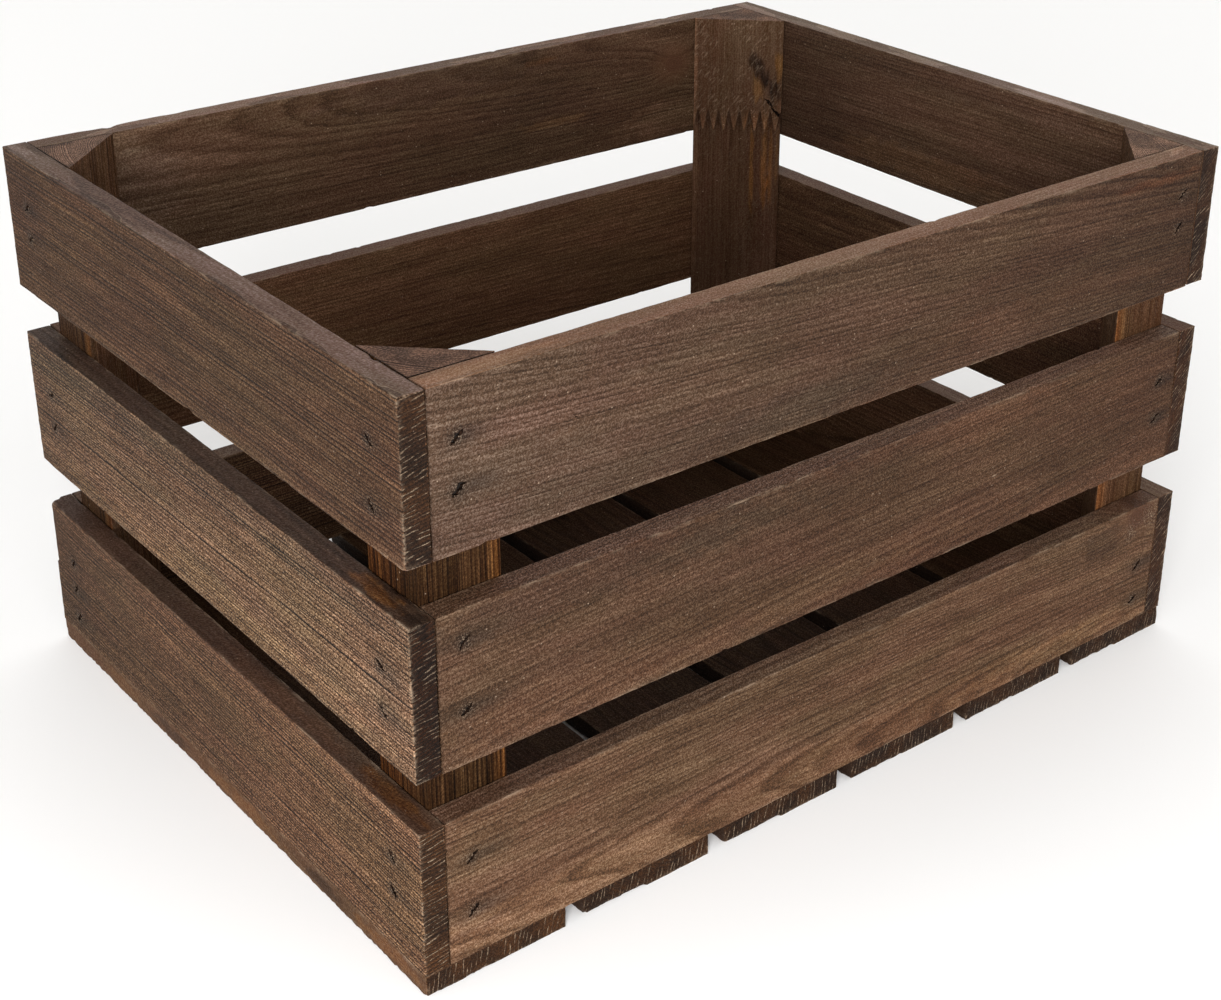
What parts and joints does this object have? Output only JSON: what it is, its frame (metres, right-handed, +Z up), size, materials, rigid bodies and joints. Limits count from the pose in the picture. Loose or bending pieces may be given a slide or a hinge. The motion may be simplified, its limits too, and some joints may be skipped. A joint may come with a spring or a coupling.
{
  "type": "apple crate",
  "caption": "Slatted wooden crate for fruit: tiers of spaced boards stapled to triangular corner posts over a slatted bottom.",
  "frame": {"origin": "on the floor under the middle of the crate", "axes": "+X along the crate's length, +Y from its front to its back, +Z up"},
  "size_m": [0.48, 0.36, 0.2785],
  "materials": {
    "board_wood": "brown stained sawn spruce, matt",
    "post_wood": "brown stained rip-sawn spruce, matt",
    "slat_wood": "brown stained sawn spruce, matt",
    "staple_steel": "dull galvanised wire, partly darkened by stain"
  },
  "bodies": {
    "root": {"back_plank_bottom": "board_wood", "back_plank_middle": "board_wood", "back_plank_top": "board_wood", "back_staples": "staple_steel", "bottom_slat_1": "slat_wood", "bottom_slat_2": "slat_wood", "bottom_slat_3": "slat_wood", "bottom_slat_4": "slat_wood", "bottom_slat_5": "slat_wood", "bottom_slat_6": "slat_wood", "bottom_staples": "staple_steel", "corner_post_back_left": "post_wood", "corner_post_back_right_lower": "post_wood", "corner_post_back_right_upper": "post_wood", "corner_post_front_left": "post_wood", "corner_post_front_right": "post_wood", "front_plank_bottom": "board_wood", "front_plank_middle": "board_wood", "front_plank_top": "board_wood", "front_staples": "staple_steel", "left_end_plank_bottom": "board_wood", "left_end_plank_middle": "board_wood", "left_end_plank_top": "board_wood", "left_end_staples": "staple_steel", "right_end_plank_bottom": "board_wood", "right_end_plank_middle": "board_wood", "right_end_plank_top": "board_wood", "right_end_staples": "staple_steel"}
  },
  "joints": []
}
